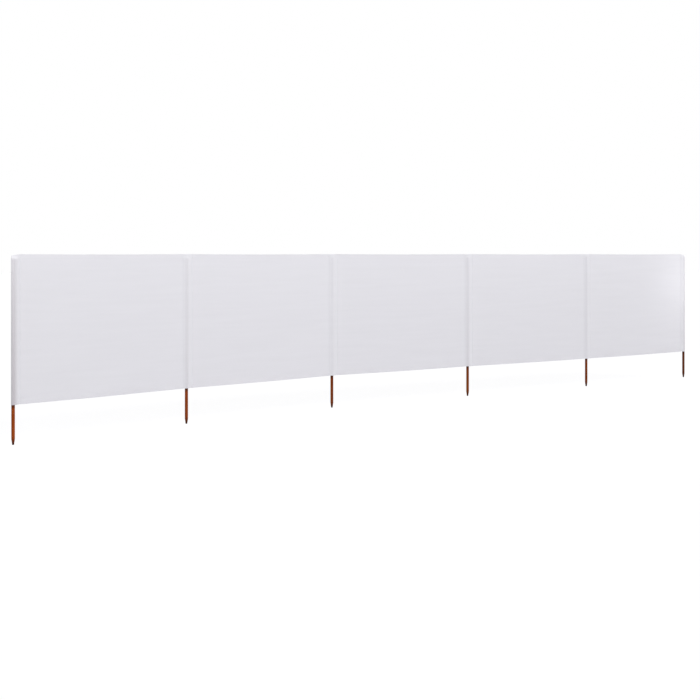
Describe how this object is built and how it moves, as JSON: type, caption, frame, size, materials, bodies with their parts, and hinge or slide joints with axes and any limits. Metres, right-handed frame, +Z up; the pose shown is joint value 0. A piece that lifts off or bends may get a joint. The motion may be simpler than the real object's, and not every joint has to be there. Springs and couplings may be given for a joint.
{
  "type": "beach windbreak",
  "caption": "Long low beach windbreak: white cloth in bays, sleeved over round pointed wooden posts that push into sand to screen a pitch from wind.",
  "frame": {"origin": "middle of the first post's blunt lower tip", "axes": "+X runs from the first post to the last, +Y is the back of the cloth where the hems are folded, +Z is up"},
  "size_m": [6.0054, 0.2411, 1.012],
  "materials": {
    "stained_wood": "satin stained pine",
    "white_cloth": "matt plain-woven cloth"
  },
  "bodies": {
    "root": {"post_1": "stained_wood", "post_2": "stained_wood", "post_3": "stained_wood", "post_4": "stained_wood", "post_5": "stained_wood", "post_6": "stained_wood", "sleeve_1": "white_cloth", "sleeve_2": "white_cloth", "sleeve_3": "white_cloth", "sleeve_4": "white_cloth", "sleeve_5": "white_cloth", "sleeve_6": "white_cloth", "panel_1": "white_cloth", "panel_2": "white_cloth", "panel_3": "white_cloth", "panel_4": "white_cloth", "panel_5": "white_cloth", "top_hem_1": "white_cloth", "top_hem_2": "white_cloth", "top_hem_3": "white_cloth", "top_hem_4": "white_cloth", "top_hem_5": "white_cloth", "bottom_hem_1": "white_cloth", "bottom_hem_2": "white_cloth", "bottom_hem_3": "white_cloth", "bottom_hem_4": "white_cloth", "bottom_hem_5": "white_cloth"}
  },
  "joints": []
}
